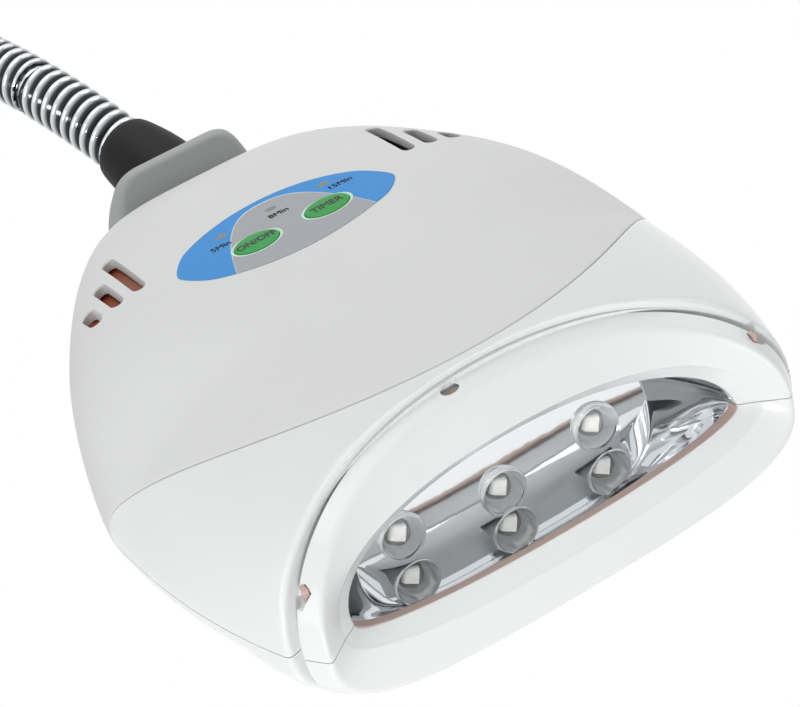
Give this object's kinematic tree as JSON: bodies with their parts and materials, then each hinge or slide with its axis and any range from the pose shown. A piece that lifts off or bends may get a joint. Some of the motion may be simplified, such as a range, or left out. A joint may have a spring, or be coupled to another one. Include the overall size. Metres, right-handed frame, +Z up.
{
  "type": "teeth whitening lamp",
  "caption": "Wide hollow lamp head with a D-shaped window over a reflector with round light cups, held by a bendable ribbed arm that ends in a stand spigot.",
  "frame": {"origin": "centre of the spigot's shoulder face, where it rests on the stand", "axes": "+Z up along the spigot, -Y towards the lamp's window, +X to the window's right-hand side seen from the front"},
  "size_m": [0.1596, 0.4179, 0.1834],
  "materials": {
    "gloss_shell": "glossy off-white",
    "matte_cover": "fine matte light grey",
    "plated": "bright metallised plastic",
    "board_white": "white board",
    "board_brown": "brown circuit board",
    "sink": "as extruded",
    "steel": "plain",
    "arm": "bright wound steel",
    "emitter": "pale with a yellow chip",
    "clear": "clear",
    "black": "black",
    "boot": "satin black",
    "copper": "wound wire",
    "block": "mid grey",
    "label": "printed blue film",
    "key": "green",
    "window": "grey translucent"
  },
  "bodies": {
    "stand_end": {"hose_segment_1": "arm", "base_ferrule": "arm", "spigot_lock_nut": "steel", "stand_spigot": "steel"},
    "arm_2": {"hose_segment_2": "arm"},
    "arm_3": {"hose_segment_3": "arm"},
    "arm_4": {"hose_segment_4": "arm"},
    "arm_5": {"hose_segment_5": "arm"},
    "arm_6": {"hose_segment_6": "arm"},
    "head": {"front_shell": "gloss_shell", "bottom_shell": "gloss_shell", "top_cover": "matte_cover", "shell_screws": "steel", "reflector": "plated", "led_board": "board_white", "heat_sink": "sink", "lamp_screws": "steel", "control_board": "board_brown", "driver_board": "board_brown", "circuit_screws": "steel", "driver_coils": "copper", "buzzer": "black", "power_switch": "black", "timer_switch": "black", "control_label": "label", "neck_block": "block", "neck_tube": "steel", "neck_pin": "steel", "neck_screws": "steel", "neck_boot": "boot", "led_emitter_1": "emitter", "led_lens_1": "clear", "led_emitter_2": "emitter", "led_lens_2": "clear", "led_emitter_3": "emitter", "led_lens_3": "clear", "led_emitter_4": "emitter", "led_lens_4": "clear", "led_emitter_5": "emitter", "led_lens_5": "clear", "led_emitter_6": "emitter", "led_lens_6": "clear", "indicator_light_1": "window", "indicator_light_2": "window", "indicator_light_3": "window", "hose_segment_7": "arm"},
    "power_key": {"power_button": "key"},
    "timer_key": {"timer_button": "key"}
  },
  "joints": [
    {"name": "arm_tilt_1", "type": "hinge", "parent": "stand_end", "child": "arm_2", "pos_m": [0.00145, -0.0058, 0.06625], "axis": [0.9703, 0.2419, 0], "range_deg": [-10, 10]},
    {"name": "arm_turn_1", "type": "hinge", "parent": "arm_2", "child": "arm_3", "pos_m": [0.00563, -0.02258, 0.09866], "axis": [-0.1921, 0.7703, 0.608], "range_deg": [-10, 10]},
    {"name": "arm_tilt_2", "type": "hinge", "parent": "arm_3", "child": "arm_4", "pos_m": [0.01211, -0.04857, 0.1238], "axis": [0.9703, 0.2419, 0], "range_deg": [-10, 10]},
    {"name": "arm_turn_2", "type": "hinge", "parent": "arm_4", "child": "arm_5", "pos_m": [0.0202, -0.08101, 0.13902], "axis": [-0.0631, 0.2529, 0.9654], "range_deg": [-10, 10]},
    {"name": "arm_tilt_3", "type": "hinge", "parent": "arm_5", "child": "arm_6", "pos_m": [0.02904, -0.11647, 0.14269], "axis": [0.9703, 0.2419, 0], "range_deg": [-10, 10]},
    {"name": "arm_turn_3", "type": "hinge", "parent": "arm_6", "child": "head", "pos_m": [0.03787, -0.15187, 0.13743], "axis": [0.0536, -0.2151, 0.9751], "range_deg": [-10, 10]},
    {"name": "power_press", "type": "slide", "parent": "head", "child": "power_key", "axis": [0, 0, 1], "range_m": [-0.0005, 0], "stiffness_N_per_m": 1500, "springref_m": 0.0008},
    {"name": "timer_press", "type": "slide", "parent": "head", "child": "timer_key", "axis": [0, 0, 1], "range_m": [-0.0005, 0], "stiffness_N_per_m": 1500, "springref_m": 0.0008}
  ]
}
